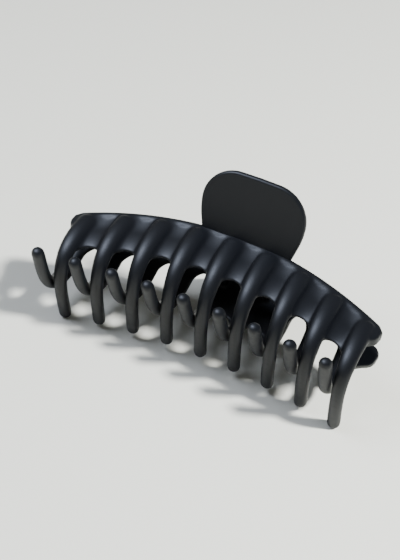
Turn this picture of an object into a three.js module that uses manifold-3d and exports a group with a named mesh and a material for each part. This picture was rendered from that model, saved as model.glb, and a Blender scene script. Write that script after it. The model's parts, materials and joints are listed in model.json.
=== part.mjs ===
// Large two-jaw claw clip for hair.
//
// Two moulded jaws face each other across a middle plane. They are pinned
// together near the middle of their back edges, and their rows of teeth are
// staggered so that they cross in front. A torsion spring on the pin pushes the
// two thumb tabs apart, which holds the teeth crossed.
//
// Units are millimetres. The clip lies as it does on a table: on the teeth of
// the upper jaw in front, and on the lower thumb tab behind. X runs along the
// clip, -Y is its front, where the teeth are, and Z = 0 is the table.

import * as THREE from "three";
import { mergeVertices } from "three/addons/utils/BufferGeometryUtils.js";
import Module from "manifold-3d";

const wasm = await Module();
wasm.setup();

// Driving dimensions, in the clip's own frame: the hinge axis is X, the teeth
// point towards -Y, and the upper jaw is on the +Z side of the middle plane.
// Each jaw is made as an upper one; the lower one is then turned half round
// about Y, so its own sideways offsets have the other sign.

const TEETH = 9;                               // on each jaw
const PITCH = 13.35;                           // from tooth to tooth
const RIB = { width: 5.1, rootWidth: 7.6, depth: 5, sides: 8, steps: 11 };

const EDGE_Y = 3;                              // middle of a jaw's back edge
const EDGE_BOW = { y: 0.00342, z: 0.00129 };   // its bow, per millimetre of x squared
const TOOTH_TIP = { y: -28.5, z: -17.0 };      // the middle tooth's end
const TIP_BOW = { y: 0.00165, z: 0.00079 };
const EDGE_PULL = { length: 33, degrees: 21 }; // handle of a rib's curve at the back edge
const TIP_PULL = { length: 10, degrees: 8 };   // and at the tooth's end

const WALL = { half: 59.5, thickness: 1.8, inset: 2.65, rows: 5 };  // inset from the ribs' crests
const ARCH = { top: 0.23, foot: 0.42, stations: 6 };  // of a window, along a rib's curve
const GUSSET = { end: 0.065, rib: 0.2 };       // how far down the wall's ends reach
const BEAD = { radius: 2.0, sides: 8, steps: 26 };    // rolled back edge

const HINGE_X = 3.5;                           // middle of the tabs and of the hinge

// A jaw in its own frame: its middle tooth, its tab and hinge, the height of
// its back edge over the middle plane, and where its windows away from the
// hinge start. The lower jaw's start right at its rolled edge.
const UPPER = { row: 0, hinge: HINGE_X, edge: 12.6, open: ARCH.top };
const LOWER = { row: 5.1, hinge: -HINGE_X, edge: 9.4, open: 0.03 };
const HINGE_WALL = 13;                         // windows this near the hinge are short

const TAB = { foot: 17, side: 19.3, height: 25.7, degrees: 62, thickness: 2.4, corner: 12 };
const TILT = 16;                               // front down, as the clip lies

const PIN = { radius: 1, half: 12.9, head: 1.7, headHeight: 0.7, sides: 20 };
const BORE_RADIUS = 1.07;
const LUG = { radius: 3.2, top: 12, spans: [[-11.9, -9.0], [5.4, 8.3]] };

const WIRE = { radius: 0.6, sides: 6 };
const COIL = { radius: 2.6, turns: 5, half: 3.1, steps: 64 };
const LEG = { reach: 8.5, gap: 0.35, aside: 1.45 };   // up the tab, off its face, off the coil

const MATT_BLACK = { color: 0x16171b, roughness: 0.5, metalness: 0 };
const STEEL = { color: 0x9a9a98, roughness: 0.35, metalness: 1 };

const rad = THREE.MathUtils.degToRad;

// ---- closed meshes and solids

// A closed body through rings of points, with a fan over each end.
function loft(rings) {
  const sides = rings[0].length;
  const points = rings.flat();
  const faces = [];
  for (let r = 0; r + 1 < rings.length; r++) {
    for (let k = 0; k < sides; k++) {
      const a = r * sides + k;
      const b = r * sides + (k + 1) % sides;
      faces.push(a, b, b + sides, a, b + sides, a + sides);
    }
  }
  const last = (rings.length - 1) * sides;
  for (let k = 1; k + 1 < sides; k++) {
    faces.push(0, k + 1, k);
    faces.push(last, last + k, last + k + 1);
  }
  const geometry = new THREE.BufferGeometry().setFromPoints(points);
  geometry.setIndex(faces);
  return geometry;
}

function solid(geometry) {
  const bare = geometry.clone();
  bare.deleteAttribute("normal");
  bare.deleteAttribute("uv");
  const merged = mergeVertices(bare, 1e-4);
  return new wasm.Manifold(new wasm.Mesh({
    numProp: 3,
    vertProperties: new Float32Array(merged.attributes.position.array),
    triVerts: new Uint32Array(merged.index.array),
  }));
}

function geometryOf(body) {
  const mesh = body.getMesh();
  const geometry = new THREE.BufferGeometry();
  geometry.setAttribute("position", new THREE.BufferAttribute(mesh.vertProperties, 3));
  geometry.setIndex(new THREE.BufferAttribute(mesh.triVerts, 1));
  geometry.computeVertexNormals();
  return geometry;
}

function joined(geometries) {
  return geometries.map(solid).reduce((whole, body) => whole.add(body));
}

// The outer shell alone: it fills the pockets that pieces seal between them.
function withoutPockets(body) {
  return body.decompose().reduce((most, shell) => (
    shell.volume() > most.volume() ? shell : most));
}

// ---- the jaw's lines

function bowed(middle, bow, x) {
  return new THREE.Vector3(x, middle.y - bow.y * x * x, middle.z - bow.z * x * x);
}

function backEdge(jaw, x) {
  return bowed({ y: EDGE_Y, z: jaw.edge }, EDGE_BOW, x);
}

// The line that a rib follows at x: back over the top, then down to the tip.
function ribLine(jaw, x) {
  const edge = backEdge(jaw, x);
  const tip = bowed(TOOTH_TIP, TIP_BOW, x);
  const away = rad(EDGE_PULL.degrees);
  const lean = rad(TIP_PULL.degrees);
  const pullEdge = edge.clone().add(
    new THREE.Vector3(0, -Math.cos(away), Math.sin(away)).multiplyScalar(EDGE_PULL.length));
  const pullTip = tip.clone().add(
    new THREE.Vector3(0, Math.sin(lean), Math.cos(lean)).multiplyScalar(TIP_PULL.length));
  return new THREE.CubicBezierCurve3(edge, pullEdge, pullTip, tip);
}

// The direction out of the jaw, square to a rib's line.
function outward(line, t) {
  const along = line.getTangent(t);
  return new THREE.Vector3(0, along.z, -along.y);
}

// A rib is wider where it leaves the back edge, and even from halfway down.
function ribWidth(t) {
  const blend = THREE.MathUtils.smoothstep(t, 0, 0.6);
  return THREE.MathUtils.lerp(RIB.rootWidth, RIB.width, blend);
}

// An elliptical bar along a line in a plane of constant x, with rounded ends.
function rib(jaw, x) {
  const line = ribLine(jaw, x);
  const half = RIB.depth / 2;
  const length = line.getLength();
  const stations = [];
  for (const round of [0.15, 0.6]) {
    stations.push([half * (1 - Math.cos(round * Math.PI / 2)), Math.sin(round * Math.PI / 2)]);
  }
  for (let s = 0; s <= RIB.steps; s++) {
    stations.push([half + (length - 2 * half) * s / RIB.steps, 1]);
  }
  for (const round of [0.6, 0.15]) {
    stations.push([length - half * (1 - Math.cos(round * Math.PI / 2)),
      Math.sin(round * Math.PI / 2)]);
  }
  const rings = stations.map(([at, size]) => {
    const t = line.getUtoTmapping(0, at);
    const centre = line.getPoint(t);
    const out = outward(line, t);
    const ring = [];
    for (let k = 0; k < RIB.sides; k++) {
      const turn = (k + 0.5) / RIB.sides * 2 * Math.PI;
      const point = centre.clone().addScaledVector(out, Math.sin(turn) * half * size);
      point.x += Math.cos(turn) * ribWidth(t) / 2 * size;
      ring.push(point);
    }
    return ring;
  });
  return loft(rings);
}

// ---- the wall between the ribs, arched over each window

function toothAt(jaw, i) {
  return jaw.row + (i - (TEETH - 1) / 2) * PITCH;
}

// How far down the rib's curve the wall reaches at a place along the jaw.
function wallEnd(jaw, x) {
  const first = toothAt(jaw, 0);
  const last = toothAt(jaw, TEETH - 1);
  if (x < first || x > last) {
    const past = x < first ? (first - x) / (WALL.half + first) : (x - last) / (WALL.half - last);
    return GUSSET.end + (GUSSET.rib - GUSSET.end) * (1 - past) ** 2;
  }
  const across = (x - first) / PITCH;
  const centre = toothAt(jaw, Math.floor(across) + 0.5);
  const top = Math.abs(centre - jaw.hinge) < HINGE_WALL ? ARCH.top : jaw.open;
  const side = Math.abs(2 * (across % 1) - 1);
  return ARCH.foot - (ARCH.foot - top) * Math.sqrt(Math.max(0, 1 - side * side));
}

function wallRing(jaw, x) {
  const end = wallEnd(jaw, x);
  const line = ribLine(jaw, x);
  const outer = RIB.depth / 2 - WALL.inset;
  const inner = outer - WALL.thickness;
  const ring = [];
  for (let r = 0; r <= WALL.rows; r++) {
    const t = end * r / WALL.rows;
    ring.push(line.getPoint(t).addScaledVector(outward(line, t), outer));
  }
  for (let r = WALL.rows; r >= 0; r--) {
    const t = end * r / WALL.rows;
    ring.push(line.getPoint(t).addScaledVector(outward(line, t), inner));
  }
  return ring;
}

function wall(jaw) {
  const places = [-WALL.half];
  const step = PITCH / ARCH.stations;
  const first = toothAt(jaw, 0);
  const past = Math.floor((WALL.half - 1 + first) / step);
  for (let s = -past; first + s * step < WALL.half - 1; s++) {
    places.push(first + s * step);
  }
  places.push(WALL.half);
  return loft(places.map((x) => wallRing(jaw, x)));
}

// The rolled edge along the back of the wall.
function bead(jaw) {
  const rings = [];
  for (let s = 0; s <= BEAD.steps; s++) {
    const x = WALL.half * (2 * s / BEAD.steps - 1);
    const centre = backEdge(jaw, x);
    const ring = [];
    for (let k = 0; k < BEAD.sides; k++) {
      const turn = k / BEAD.sides * 2 * Math.PI;
      ring.push(centre.clone().add(new THREE.Vector3(
        0, Math.cos(turn) * BEAD.radius, Math.sin(turn) * BEAD.radius)));
    }
    rings.push(ring);
  }
  return loft(rings);
}

// ---- thumb tab and hinge lugs

// Turns a shape drawn flat (x across, y up, extruded in z) so that its y runs
// up the tab and its front face looks out of the jaw.
function ontoTab(jaw, geometry) {
  geometry.translate(0, 0, -TAB.thickness / 2);
  geometry.rotateX(rad(TAB.degrees));
  return geometry.translate(jaw.hinge, EDGE_Y, jaw.edge);
}

function tab(jaw) {
  const { foot, side, height, corner } = TAB;
  const outline = new THREE.Shape();
  outline.moveTo(-foot, 0);
  outline.lineTo(foot, 0);
  const low = height - corner;
  const pull = corner * 0.55;
  outline.bezierCurveTo(foot + 1, 3, side, low * 0.6, side, low);
  outline.bezierCurveTo(side, low + pull, side - corner + pull, height, side - corner, height);
  outline.quadraticCurveTo(0, height + 0.5, corner - side, height);
  outline.bezierCurveTo(corner - pull - side, height, -side, low + pull, -side, low);
  outline.bezierCurveTo(-side, low * 0.6, -foot - 1, 3, -foot, 0);
  const plate = new THREE.ExtrudeGeometry(outline, {
    depth: TAB.thickness, bevelEnabled: false, curveSegments: 6,
  });
  return ontoTab(jaw, plate);
}

// An ear from under the back edge, rounded about the pin.
function lug([from, to]) {
  const outline = new THREE.Shape();
  outline.moveTo(-LUG.radius, LUG.top);
  outline.lineTo(-LUG.radius, 0);
  outline.absarc(0, 0, LUG.radius, Math.PI, 2 * Math.PI, false);
  outline.lineTo(LUG.radius + 1, LUG.top);
  const ear = new THREE.ExtrudeGeometry(outline, {
    depth: to - from, bevelEnabled: false, curveSegments: 10,
  });
  ear.rotateY(Math.PI / 2);
  ear.rotateX(Math.PI / 2);
  return ear.translate(from, 0, 0);
}

function boreCutter() {
  const cutter = new THREE.CylinderGeometry(BORE_RADIUS, BORE_RADIUS, 40, PIN.sides);
  return cutter.rotateZ(Math.PI / 2);
}

function jawGeometry(jaw) {
  const pieces = [wall(jaw), bead(jaw), tab(jaw)];
  for (let i = 0; i < TEETH; i++) {
    pieces.push(rib(jaw, toothAt(jaw, i)));
  }
  for (const span of LUG.spans) {
    pieces.push(lug(span).translate(jaw.hinge, 0, 0));
  }
  const moulding = withoutPockets(joined(pieces));
  return geometryOf(moulding.subtract(solid(boreCutter())));
}

// ---- pin and spring

function pinGeometry() {
  const { radius, half, head, headHeight } = PIN;
  const profile = [
    [0, -half], [head * 0.7, -half], [head, -half + 0.3], [head, -half + headHeight],
    [radius, -half + headHeight], [radius, half - 0.3], [radius - 0.3, half], [0, half],
  ].map(([r, along]) => new THREE.Vector2(r, along));
  return new THREE.LatheGeometry(profile, PIN.sides).rotateZ(-Math.PI / 2);
}

// Where a leg ends against the inside of a jaw's tab, as seen along the pin.
function legEnd(jaw) {
  const angle = rad(TAB.degrees);
  const off = TAB.thickness / 2 + WIRE.radius + LEG.gap;
  return new THREE.Vector2(
    EDGE_Y + Math.cos(angle) * LEG.reach + Math.sin(angle) * off,
    jaw.edge + Math.sin(angle) * LEG.reach - Math.cos(angle) * off);
}

// How far round the coil a leg leaves it, to run straight to its end.
function legTurn(jaw) {
  const end = legEnd(jaw);
  return end.angle() - Math.acos(COIL.radius / end.length());
}

function coilPoint(t) {
  const sweep = COIL.turns * 2 * Math.PI + legTurn(LOWER) + legTurn(UPPER);
  const turn = t * sweep - legTurn(LOWER);
  return new THREE.Vector3(
    COIL.half * (2 * t - 1), Math.cos(turn) * COIL.radius, Math.sin(turn) * COIL.radius);
}

// The wire of the lower leg and the coil, from the leg's end to the coil's far end.
class SpringWire extends THREE.Curve {
  getPoint(t, target = new THREE.Vector3()) {
    const { x, y } = legEnd(LOWER);
    const end = new THREE.Vector3(-COIL.half, x, -y);
    const legLength = end.distanceTo(coilPoint(0));
    const coilLength = COIL.turns * 2 * Math.PI * COIL.radius;
    const share = legLength / (legLength + coilLength);
    if (t < share) {
      return target.copy(end).lerp(coilPoint(0), t / share);
    }
    return target.copy(coilPoint((t - share) / (1 - share)));
  }
}

function wireAlong(curve, steps) {
  const section = new THREE.Shape();
  for (let k = 0; k < WIRE.sides; k++) {
    const turn = k / WIRE.sides * 2 * Math.PI;
    const point = [Math.cos(turn) * WIRE.radius, Math.sin(turn) * WIRE.radius];
    if (k === 0) section.moveTo(...point);
    else section.lineTo(...point);
  }
  section.closePath();
  return new THREE.ExtrudeGeometry(section, { steps, extrudePath: curve, bevelEnabled: false });
}

// The upper leg, which starts beside the coil's far end.
function upperLegGeometry() {
  const { x, y } = legEnd(UPPER);
  const aside = COIL.half + LEG.aside;
  const start = coilPoint(1).setX(aside);
  return wireAlong(new THREE.LineCurve3(start, new THREE.Vector3(aside, x, y)), 2);
}

// ---- the clip

function part(name, geometry, look) {
  const mesh = new THREE.Mesh(geometry, new THREE.MeshStandardMaterial(look));
  mesh.name = name;
  return mesh;
}

const upperJaw = part("upper_jaw", jawGeometry(UPPER), MATT_BLACK);
const lowerJaw = part("lower_jaw", jawGeometry(LOWER), MATT_BLACK);
lowerJaw.rotation.y = Math.PI;
const pin = part("hinge_pin", pinGeometry(), STEEL);
const spring = part("torsion_spring", wireAlong(new SpringWire(), COIL.steps), STEEL);
const upperLeg = part("spring_upper_leg", upperLegGeometry(), STEEL);
for (const piece of [pin, spring, upperLeg]) {
  piece.position.x = HINGE_X;
}

const hinge = new THREE.Group();
hinge.add(upperJaw, lowerJaw, pin, spring, upperLeg);
hinge.rotation.x = rad(TILT);

// The origin is on the table, under the middle of the clip.
const group = new THREE.Group();
group.add(hinge);
group.updateMatrixWorld(true);
const box = new THREE.Box3().setFromObject(group, true);
const middle = box.getCenter(new THREE.Vector3());
hinge.position.set(-middle.x, -middle.y, -box.min.z);

export default group;
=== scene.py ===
# A large claw clip for hair, in soft-touch matt black, lying on a table on the
# end teeth of its upper jaw and on its lower thumb tab.
import json
import math

import bmesh
import bpy
from mathutils import Matrix, Vector


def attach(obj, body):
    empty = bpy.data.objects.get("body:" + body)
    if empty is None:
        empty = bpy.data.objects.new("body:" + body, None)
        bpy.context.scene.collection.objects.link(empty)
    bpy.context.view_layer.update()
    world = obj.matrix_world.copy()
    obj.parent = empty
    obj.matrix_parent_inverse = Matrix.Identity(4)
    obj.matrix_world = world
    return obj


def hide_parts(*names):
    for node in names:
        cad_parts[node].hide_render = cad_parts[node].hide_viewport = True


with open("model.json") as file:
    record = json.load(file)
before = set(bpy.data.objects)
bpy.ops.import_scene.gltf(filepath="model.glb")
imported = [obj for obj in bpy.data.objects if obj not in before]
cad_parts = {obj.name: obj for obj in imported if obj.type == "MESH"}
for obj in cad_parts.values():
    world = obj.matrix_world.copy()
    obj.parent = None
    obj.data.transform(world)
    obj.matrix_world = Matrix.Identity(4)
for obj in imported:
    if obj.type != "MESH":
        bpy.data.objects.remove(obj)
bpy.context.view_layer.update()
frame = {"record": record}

# ---- The two jaws
# Each is one injection moulding in ABS: a row of round teeth that grow out of a
# scooped wall, a rolled back edge, a flat thumb tab and two ears for the pin.
# Both come out of the same kind of mould, and the lower one is turned half round.
TEETH = 9
PITCH = 13.35  # millimetres, as are all sizes of the clip here
HINGE_MIDDLE = 3.5
TILT = math.radians(16)

EDGE_Y = 3  # the middle of a jaw's back edge
EDGE_BOW = (0.00342, 0.00129)
TOOTH_TIP = (-28.5, -17.0)
TIP_BOW = (0.00165, 0.00079)
EDGE_PULL = (33, math.radians(21))
TIP_PULL = (10, math.radians(8))

TOOTH_HALF = 2.4
TOOTH_DEPTH_HALF = 2.25
ROOT_HALF = 3.6
ROOT_SHARE = 0.6  # of a tooth's line over which its root narrows
TOOTH_STEPS = 44
TOOTH_END_STEPS = 8
LINE_SAMPLES = 200
BAR_SIDES = 24

WALL_HALF = 59.4
WALL_CELLS = (300, 24)
WALL_OUT = -0.9  # of the wall's face from the teeth's lines, at its deepest
WALL_IN = -2.0
WALL_SCOOP = 2.3
WALL_TOP = 1.75
LIP_RISE = 2.6
LIP_SHARE = 0.09  # of a tooth's line that the lip at the edge takes
ARCH_TOP = 0.23
ARCH_FOOT = 0.42
GUSSET_END = 0.065
GUSSET_TOOTH = 0.2
EDGE_RADIUS = 1.95
EDGE_STEPS = 120
HINGE_WALL = 13  # windows this near the hinge are short

# Each jaw in its own frame: its middle tooth, its tab and hinge, its back edge's
# height over the middle plane, and where its windows away from the hinge start.
UPPER = {"row": 0, "hinge": HINGE_MIDDLE, "edge": 12.6, "open": ARCH_TOP}
LOWER = {"row": 5.1, "hinge": -HINGE_MIDDLE, "edge": 9.4, "open": 0.03}

TAB_FOOT = 17
TAB_SIDE = 19.45
TAB_HEIGHT = 25.7
TAB_WIDEST = 9.3  # how far up the tab its sides are widest
TAB_CROWN = (0.3, 0.4)  # of the top corners, in and down from the middle
TAB_CORNER = 12
TAB_BEND = 3.5
TAB_RIM = 0.85
TAB_FACE_INSET = 0.25
TAB_ANGLE = math.radians(62)
TAB_THICKNESS = 2.3

EAR_RADIUS = 3.1
EAR_TOP = 12
EAR_FOOT = 0.4  # how much further back the ear's foot reaches than its round end
EARS = ((-11.9, -9.0), (5.4, 8.3))
BORE_RADIUS = 1.07
DRILL_HALF = 20
CELL = 0.45  # of the moulding's mesh
SMOOTH_PASSES = 9
SHARP_ANGLE = math.radians(50)

joint = frame["record"]["behaviour"]["joints"][0]
hinge = Vector(joint["pos_m"])
clip_place = (
    Matrix.Translation(hinge)
    @ Matrix.Rotation(TILT, 4, "X")
    @ Matrix.Scale(0.001, 4)
    @ Matrix.Translation((-HINGE_MIDDLE, 0, 0))
)
half_turn = Matrix.Rotation(math.pi, 4, "Y")


def tooth_at(jaw, i):
    return jaw["row"] + (i - (TEETH - 1) / 2) * PITCH


def bowed(middle, bow, x):
    return Vector((x, middle[0] - bow[0] * x * x, middle[1] - bow[1] * x * x))


def back_edge(jaw, x):
    return bowed((EDGE_Y, jaw["edge"]), EDGE_BOW, x)


def tooth_line(jaw, x):
    """The four control points of the line that a tooth at x follows."""
    edge = back_edge(jaw, x)
    tip = bowed(TOOTH_TIP, TIP_BOW, x)
    reach, away = EDGE_PULL
    rise, lean = TIP_PULL
    return (
        edge,
        edge + reach * Vector((0, -math.cos(away), math.sin(away))),
        tip + rise * Vector((0, math.sin(lean), math.cos(lean))),
        tip,
    )


def on_line(line, t):
    a, b, c, d = line
    s = 1 - t
    return a * s**3 + b * (3 * s * s * t) + c * (3 * s * t * t) + d * t**3


def outward(line, t):
    """The direction out of the jaw, square to the line."""
    a, b, c, d = line
    s = 1 - t
    along = (b - a) * (s * s) + (c - b) * (2 * s * t) + (d - c) * (t * t)
    return Vector((0, along.z, -along.y)).normalized()


def smooth(value):
    value = min(max(value, 0), 1)
    return value * value * (3 - 2 * value)


def ring_place(middle, half_width, half_depth):
    place = Matrix.Identity(4)
    for column, vector in enumerate(
        (half_width, half_depth, half_width.cross(half_depth).normalized(), middle)
    ):
        for row in range(3):
            place[row][column] = vector[row]
    return place


def sweep(bm, places, sides):
    """A closed bar through a row of ring places."""
    ring = bmesh.ops.create_circle(
        bm, cap_ends=True, radius=1, segments=sides, matrix=places[0]
    )["verts"]
    edges = list({e for v in ring for e in v.link_edges})
    for last, place in zip(places, places[1:]):
        made = bmesh.ops.extrude_edge_only(bm, edges=edges)["geom"]
        edges = [g for g in made if isinstance(g, bmesh.types.BMEdge)]
        ring = [g for g in made if isinstance(g, bmesh.types.BMVert)]
        edges = [e for e in edges if all(v in ring for v in e.verts)]
        bmesh.ops.transform(bm, matrix=place @ last.inverted(), verts=ring)
    bmesh.ops.contextual_create(bm, geom=edges)


def add_tooth(bm, jaw, x):
    """A round bar along the tooth's line, wider at its root, with round ends."""
    line = tooth_line(jaw, x)
    lengths = [0]
    for i in range(LINE_SAMPLES):
        step = on_line(line, (i + 1) / LINE_SAMPLES) - on_line(line, i / LINE_SAMPLES)
        lengths.append(lengths[-1] + step.length)
    total = lengths[-1]
    places = []
    stops = [
        TOOTH_HALF * (1 - math.cos(i / TOOTH_END_STEPS * math.pi / 2))
        for i in range(TOOTH_END_STEPS)
    ]
    body = [
        TOOTH_HALF + (total - 2 * TOOTH_HALF) * i / TOOTH_STEPS
        for i in range(TOOTH_STEPS + 1)
    ]
    for at in stops + body + [total - stop for stop in reversed(stops)]:
        t = next(i for i, l in enumerate(lengths) if l >= at - 1e-6) / LINE_SAMPLES
        end = min(at, total - at, TOOTH_HALF)
        size = math.sqrt(max(0.01, 1 - (1 - end / TOOTH_HALF) ** 2))
        half = ROOT_HALF + (TOOTH_HALF - ROOT_HALF) * smooth(t / ROOT_SHARE)
        out = outward(line, t)
        places.append(
            ring_place(
                on_line(line, t),
                Vector((half * size, 0, 0)),
                out * (TOOTH_DEPTH_HALF * size),
            )
        )
    sweep(bm, places, BAR_SIDES)


def wall_end(jaw, x):
    """How far down a tooth's line the wall reaches at x."""
    first = tooth_at(jaw, 0)
    last = tooth_at(jaw, TEETH - 1)
    if first <= x < last:
        across = (x - first) / PITCH
        centre = tooth_at(jaw, math.floor(across) + 0.5)
        top = ARCH_TOP if abs(centre - jaw["hinge"]) < HINGE_WALL else jaw["open"]
        side = abs(2 * (across % 1) - 1)
        return ARCH_FOOT - (ARCH_FOOT - top) * math.sqrt(max(0, 1 - side * side))
    if x < first:
        past = (first - x) / (WALL_HALF + first)
    else:
        past = (x - last) / (WALL_HALF - last)
    reach = GUSSET_END + (GUSSET_TOOTH - GUSSET_END) * (1 - past) ** 2
    return reach * math.sqrt(max(0.02, 1 - past**8))


def wall_rise(jaw, x, t):
    """How far out of the teeth's lines the wall's face is: it is scooped between
    two teeth, and rises to the rolled edge."""
    side = abs(2 * ((x - tooth_at(jaw, 0)) / PITCH % 1) - 1)
    if not tooth_at(jaw, 0) < x < tooth_at(jaw, TEETH - 1):
        side = 1
    lip = max(0, 1 - t / LIP_SHARE)
    return min(WALL_OUT + WALL_SCOOP * side**2 + LIP_RISE * lip**2, WALL_TOP)


def add_wall(bm, jaw):
    columns, rows = WALL_CELLS
    made = bmesh.ops.create_grid(bm, x_segments=columns, y_segments=rows, size=1)
    made = made["verts"]
    faces = list({f for v in made for f in v.link_faces})
    bmesh.ops.recalc_face_normals(bm, faces=faces)
    inner = bmesh.ops.extrude_face_region(bm, geom=faces, use_keep_orig=True)["geom"]
    inner = {g for g in inner if isinstance(g, bmesh.types.BMVert)}
    for v in made + list(inner):
        x = v.co.x * WALL_HALF
        t = wall_end(jaw, x) * (v.co.y + 1) / 2
        line = tooth_line(jaw, x)
        face = WALL_IN if v in inner else wall_rise(jaw, x, t)
        v.co = on_line(line, t) + outward(line, t) * face


def add_back_edge(bm, jaw):
    places = []
    for i in range(EDGE_STEPS + 1):
        x = WALL_HALF * math.sin((2 * i / EDGE_STEPS - 1) * math.pi / 2)
        left = min(1, max(0.01, (WALL_HALF - abs(x)) / EDGE_RADIUS))
        size = EDGE_RADIUS * math.sqrt(left)
        middle = back_edge(jaw, x)
        places.append(ring_place(middle, Vector((0, size, 0)), Vector((0, 0, size))))
    sweep(bm, places, BAR_SIDES)


def add_cylinder(bm, radius, start, stop, sides):
    """A cylinder along the pin's line."""
    across = Matrix.Rotation(math.pi / 2, 4, "Y")
    bmesh.ops.create_cone(
        bm,
        cap_ends=True,
        segments=sides,
        radius1=radius,
        radius2=radius,
        depth=stop - start,
        matrix=Matrix.Translation(((start + stop) / 2, 0, 0)) @ across,
    )


def add_ear(bm, start, stop):
    add_cylinder(bm, EAR_RADIUS, start, stop, 48)
    depth = 2 * (EAR_RADIUS + EAR_FOOT)
    bmesh.ops.create_cube(
        bm,
        size=1,
        matrix=Matrix.Translation(((start + stop) / 2, EAR_FOOT, EAR_TOP / 2))
        @ Matrix.Diagonal((stop - start, depth, EAR_TOP, 1)),
    )


def tab_mesh(jaw):
    """A flat plate with round corners and a rounded rim, set on its back edge."""
    bm = bmesh.new()
    narrower, lower_by = TAB_CROWN
    corners = [
        (-TAB_FOOT, 0),
        (TAB_FOOT, 0),
        (TAB_SIDE, TAB_WIDEST),
        (TAB_SIDE - narrower, TAB_HEIGHT - lower_by),
        (0, TAB_HEIGHT),
        (narrower - TAB_SIDE, TAB_HEIGHT - lower_by),
        (-TAB_SIDE, TAB_WIDEST),
    ]
    verts = [bm.verts.new((x, y, -TAB_THICKNESS / 2)) for x, y in corners]
    bm.faces.new(verts)
    for group, size in ((verts[3:6:2], TAB_CORNER), (verts[2:7:4], TAB_BEND)):
        bmesh.ops.bevel(
            bm,
            geom=group,
            offset=size,
            affect="VERTICES",
            segments=16,
            profile=0.5,
            material=-1,
        )
    made = bmesh.ops.extrude_face_region(bm, geom=bm.faces[:])["geom"]
    top = [g for g in made if isinstance(g, bmesh.types.BMVert)]
    bmesh.ops.translate(bm, vec=(0, 0, TAB_THICKNESS), verts=top)
    bmesh.ops.recalc_face_normals(bm, faces=bm.faces[:])
    rim = [
        e
        for e in bm.edges
        if abs(e.verts[0].co.z - e.verts[1].co.z) < 1e-6
        and max(v.co.y for v in e.verts) > 0.01
    ]
    bmesh.ops.bevel(
        bm,
        geom=rim,
        offset=TAB_RIM,
        affect="EDGES",
        segments=5,
        profile=0.5,
        material=-1,
    )
    flats = [f for f in bm.faces if abs(f.normal.z) > 0.99 and f.calc_area() > 100]
    bmesh.ops.inset_individual(bm, faces=flats, thickness=TAB_FACE_INSET)
    bmesh.ops.transform(
        bm,
        matrix=Matrix.Translation((jaw["hinge"], EDGE_Y, jaw["edge"]))
        @ Matrix.Rotation(TAB_ANGLE, 4, "X"),
        verts=bm.verts[:],
    )
    return as_object("tab_blank", bm)


def as_object(name, bm):
    mesh = bpy.data.meshes.new(name)
    bm.to_mesh(mesh)
    bm.free()
    obj = bpy.data.objects.new(name, mesh)
    bpy.context.scene.collection.objects.link(obj)
    return obj


def shaped(obj, kind, **settings):
    """The object's mesh after one modifier, made final."""
    modifier = obj.modifiers.new(kind, kind)
    for key, value in settings.items():
        setattr(modifier, key, value)
    seen = obj.evaluated_get(bpy.context.evaluated_depsgraph_get())
    mesh = bpy.data.meshes.new_from_object(seen)
    obj.modifiers.clear()
    old = obj.data
    obj.data = mesh
    bpy.data.meshes.remove(old)
    return obj


def combine(obj, tool, operation):
    shaped(obj, "BOOLEAN", object=tool, operation=operation, solver="EXACT")
    bpy.data.objects.remove(tool)


def place(obj, matrix):
    """Moves the finished mesh into the clip's place and gives it smooth faces."""
    obj.data.transform(matrix)
    obj.data.shade_smooth()
    obj.data.set_sharp_from_angle(angle=SHARP_ANGLE)


def moulding(name, jaw, turn):
    """One jaw as a single mesh, with the bore for the pin cut last."""
    middle = jaw["hinge"]
    bm = bmesh.new()
    add_wall(bm, jaw)
    add_back_edge(bm, jaw)
    for i in range(TEETH):
        add_tooth(bm, jaw, tooth_at(jaw, i))
    for start, stop in EARS:
        add_ear(bm, middle + start, middle + stop)
    bmesh.ops.recalc_face_normals(bm, faces=bm.faces[:])
    obj = as_object(name, bm)
    shaped(obj, "REMESH", mode="VOXEL", voxel_size=CELL)
    shaped(obj, "SMOOTH", factor=0.5, iterations=SMOOTH_PASSES)
    combine(obj, tab_mesh(jaw), "UNION")
    bore = bmesh.new()
    add_cylinder(bore, BORE_RADIUS, middle - DRILL_HALF, middle + DRILL_HALF, 40)
    combine(obj, as_object("bore_drill", bore), "DIFFERENCE")
    place(obj, clip_place @ turn)
    return obj


def srgb(text):
    """A linear colour from an sRGB hex value."""
    parts = [int(text[i : i + 2], 16) / 255 for i in (1, 3, 5)]
    return tuple(
        c / 12.92 if c <= 0.04045 else ((c + 0.055) / 1.055) ** 2.4 for c in parts
    ) + (1,)


def node(tree, kind, settings=(), links=()):
    """Adds a node, sets its inputs and properties, and links its inputs."""
    made = tree.nodes.new(kind)
    for key, value in dict(settings).items():
        if key in made.inputs:
            made.inputs[key].default_value = value
        else:
            setattr(made, key, value)
    for key, source in dict(links).items():
        tree.links.new(source, made.inputs[key])
    return made


def finish_named(name, settings, grain, depth):
    """A material with a fine even grain, its size and depth in metres."""
    material = bpy.data.materials.new(name)
    material.use_nodes = True
    tree = material.node_tree
    tree.nodes.clear()
    where = node(tree, "ShaderNodeTexCoord")
    noise = node(
        tree,
        "ShaderNodeTexNoise",
        {"Scale": 1 / grain, "Detail": 2.0},
        {"Vector": where.outputs["Object"]},
    )
    bump = node(
        tree,
        "ShaderNodeBump",
        {"Strength": 1.0, "Distance": depth},
        {"Height": noise.outputs["Fac"]},
    )
    shader = node(
        tree, "ShaderNodeBsdfPrincipled", settings, {"Normal": bump.outputs["Normal"]}
    )
    node(tree, "ShaderNodeOutputMaterial", (), {"Surface": shader.outputs["BSDF"]})
    return material


# Soft-touch painted ABS: a velvety rubber coat over moulded plastic. It shows
# broad, soft, slightly blue highlights, and no sharp reflection.
soft_touch = finish_named(
    "soft_touch_black_abs",
    {
        "Base Color": srgb("#0b0d11"),
        "Roughness": 0.48,
        "Specular IOR Level": 0.28,
    },
    0.0007,
    0.000004,
)

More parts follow.
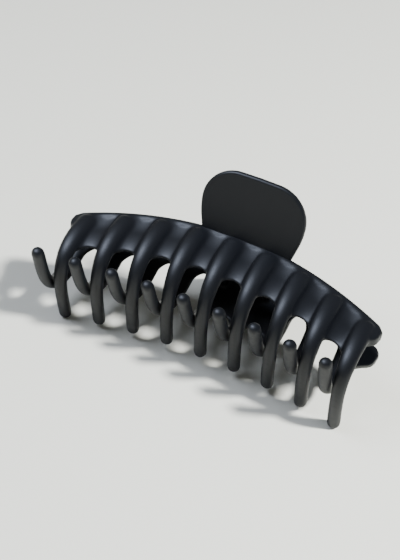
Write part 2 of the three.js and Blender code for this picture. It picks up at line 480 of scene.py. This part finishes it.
upper = moulding("upper_jaw_moulding", UPPER, Matrix.Identity(4))
lower = moulding("lower_jaw_moulding", LOWER, half_turn)
for obj, cad_node, body in (
    (upper, "upper_jaw", "upper_half"),
    (lower, "lower_jaw", "lower_half"),
):
    obj.data.materials.clear()
    obj.data.materials.append(soft_touch)
    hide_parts(cad_node)
    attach(obj, body)

# ---- The hinge pin
# A turned steel pin with a low head, pushed through the four ears and held in
# the lower jaw's two.
PIN_RADIUS = 1.0
PIN_HALF = 12.9
PIN_CHAMFER = 0.3
HEAD_RADIUS = 1.7
HEAD_HEIGHT = 0.7
HEAD_CROWN = ((0, 1.2), (0.1, 1.5), (0.3, HEAD_RADIUS))  # along from the end, radius

pin_bm = bmesh.new()
profile = [
    (-PIN_HALF, 0),
    *((along - PIN_HALF, radius) for along, radius in HEAD_CROWN),
    (-PIN_HALF + HEAD_HEIGHT, HEAD_RADIUS),
    (-PIN_HALF + HEAD_HEIGHT, PIN_RADIUS),
    (PIN_HALF - PIN_CHAMFER, PIN_RADIUS),
    (PIN_HALF, PIN_RADIUS - PIN_CHAMFER),
    (PIN_HALF, 0),
]
dots = [pin_bm.verts.new((along, radius, 0)) for along, radius in profile]
for a, b in zip(dots, dots[1:]):
    pin_bm.edges.new((a, b))
bmesh.ops.spin(
    pin_bm,
    geom=pin_bm.verts[:] + pin_bm.edges[:],
    axis=(1, 0, 0),
    cent=(0, 0, 0),
    angle=2 * math.pi,
    steps=48,
    use_merge=True,
)
bmesh.ops.remove_doubles(pin_bm, verts=pin_bm.verts[:], dist=1e-4)
bmesh.ops.recalc_face_normals(pin_bm, faces=pin_bm.faces[:])
pin = as_object("hinge_pin_steel", pin_bm)
spring_place = clip_place @ Matrix.Translation((HINGE_MIDDLE, 0, 0))
place(pin, spring_place)

# Nickel-plated steel: bright, with a faintly drawn surface.
plated_steel = finish_named(
    "nickel_plated_steel",
    {"Base Color": srgb("#b7b5ae"), "Metallic": 1.0, "Roughness": 0.28},
    0.0004,
    0.000002,
)
pin.data.materials.append(plated_steel)
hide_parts("hinge_pin")
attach(pin, "lower_half")

# ---- The torsion spring
# Round spring wire wound about five turns round the pin. One leg presses the lower
# tab from inside and goes with the lower jaw; the other presses the upper tab.
WIRE_RADIUS = 0.6
COIL_RADIUS = 2.6
COIL_TURNS = 5
COIL_HALF = 3.1
COIL_STEPS = 200
WIRE_SIDES = 16
WIRE_END = 0.8  # of the wire's radius at its two cut ends
LEG_REACH = 8.5
LEG_OFF = 1.2 + WIRE_RADIUS + 0.35  # half the solid tab, the wire and the gap
LEG_ASIDE = 1.45  # of the upper leg from the coil's end


def leg_end(jaw):
    """Where a leg ends inside a tab, as seen along the pin."""
    along = Vector((math.cos(TAB_ANGLE), math.sin(TAB_ANGLE)))
    inward = Vector((along.y, -along.x))
    return Vector((EDGE_Y, jaw["edge"])) + along * LEG_REACH + inward * LEG_OFF


def leg_turn(jaw):
    """The angle at which a leg leaves the coil, straight towards its end."""
    end = leg_end(jaw)
    return math.atan2(end.y, end.x) - math.acos(COIL_RADIUS / end.length)


def coil_point(t):
    whole = COIL_TURNS * 2 * math.pi + leg_turn(LOWER) + leg_turn(UPPER)
    turn = t * whole - leg_turn(LOWER)
    along = COIL_HALF * (2 * t - 1)
    return Vector((along, COIL_RADIUS * math.cos(turn), COIL_RADIUS * math.sin(turn)))


def wire(name, points):
    places = []
    last = len(points) - 1
    for i, point in enumerate(points):
        along = (points[min(i + 1, last)] - points[max(i - 1, 0)]).normalized()
        side = Vector((1, 0, 0))
        side = (side - along * side.dot(along)).normalized()
        radius = WIRE_RADIUS * (WIRE_END if i in (0, last) else 1)
        places.append(ring_place(point, side * radius, along.cross(side) * radius))
    bm = bmesh.new()
    sweep(bm, places, WIRE_SIDES)
    bmesh.ops.recalc_face_normals(bm, faces=bm.faces[:])
    obj = as_object(name, bm)
    place(obj, spring_place)
    return obj


lower_end = Vector((-COIL_HALF, leg_end(LOWER).x, -leg_end(LOWER).y))
coil_start = coil_point(0)
leg_points = [lower_end.lerp(coil_start, t) for t in (0, 0.01, 0.3, 0.6, 0.9)]
coil_points = [coil_point(i / COIL_STEPS) for i in range(COIL_STEPS + 1)]
coil = wire("torsion_spring_coil", leg_points + coil_points)
aside = COIL_HALF + LEG_ASIDE
coil_end = coil_point(1)
upper_start = Vector((aside, coil_end.y, coil_end.z))
upper_end = Vector((aside, leg_end(UPPER).x, leg_end(UPPER).y))
leg = wire(
    "torsion_spring_upper_leg",
    [upper_start.lerp(upper_end, t) for t in (0, 0.01, 0.5, 0.99, 1)],
)
for obj, cad_node, body in (
    (coil, "torsion_spring", "lower_half"),
    (leg, "spring_upper_leg", "upper_half"),
):
    obj.data.materials.append(plated_steel)
    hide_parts(cad_node)
    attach(obj, body)

# ---- The table, light and camera
# A seamless pale table top under a bright window light from high on the right.
# A softbox on the left fills the shadows, and a sheen card at the same place
# only shows in the coat. The camera looks down from the front, right of centre.
TABLE_HALF = 3
LIGHT_TARGET = Vector((0, 0, 0.03))
SOFTBOX_PLACE = (-0.45, -0.25, 0.8)
SOFTBOX_SIZE = 0.42

floor_bm = bmesh.new()
bmesh.ops.create_grid(floor_bm, x_segments=1, y_segments=1, size=TABLE_HALF)
floor = as_object("table_top", floor_bm)
table_finish = bpy.data.materials.new("pale_painted_board")
table_finish.use_nodes = True
board = table_finish.node_tree.nodes["Principled BSDF"]
board.inputs["Base Color"].default_value = srgb("#dfe2da")
board.inputs["Roughness"].default_value = 0.8
floor.data.materials.append(table_finish)

world = bpy.data.worlds.new("studio_air")
world.use_nodes = True
air = world.node_tree.nodes["Background"]
air.inputs["Color"].default_value = srgb("#efeeea")
air.inputs["Strength"].default_value = 0.2
bpy.context.scene.world = world


def look(obj, start, target, roll=0.0):
    """Puts a light or camera at start, turned to the target."""
    turn = (target - start).to_track_quat("-Z", "Y").to_matrix().to_4x4()
    obj.matrix_world = Matrix.Translation(start) @ turn @ Matrix.Rotation(roll, 4, "Z")


def area_light(name, start, size, power, tint):
    data = bpy.data.lights.new(name, "AREA")
    data.shape = "DISK"
    data.size = size
    data.energy = power
    data.color = srgb(tint)[:3]
    obj = bpy.data.objects.new(name, data)
    bpy.context.scene.collection.objects.link(obj)
    look(obj, Vector(start), LIGHT_TARGET)
    return obj


window = area_light("window", (0.66, 0.0, 0.84), 0.12, 31.5, "#fffdfb")
window.visible_glossy = False
area_light("softbox", SOFTBOX_PLACE, SOFTBOX_SIZE, 5, "#eef2ff")
sheen_card = area_light("sheen_card", SOFTBOX_PLACE, SOFTBOX_SIZE, 19, "#d8e6ff")
sheen_card.visible_diffuse = False

TARGET = Vector((-0.0068, -0.0034, 0.0267))
DISTANCE = 0.4094
AZIMUTH = math.radians(22.08)
ELEVATION = math.radians(40.24)
ROLL = math.radians(6.5)
camera_data = bpy.data.cameras.new("camera")
camera_data.sensor_fit = "VERTICAL"
camera_data.sensor_height = 36
camera_data.lens = 74.4
camera_data.clip_start = 0.01
camera = bpy.data.objects.new("camera", camera_data)
bpy.context.scene.collection.objects.link(camera)
offset = Vector(
    (
        math.sin(AZIMUTH) * math.cos(ELEVATION),
        -math.cos(AZIMUTH) * math.cos(ELEVATION),
        math.sin(ELEVATION),
    )
)
look(camera, TARGET + offset * DISTANCE, TARGET, ROLL)
bpy.context.scene.camera = camera
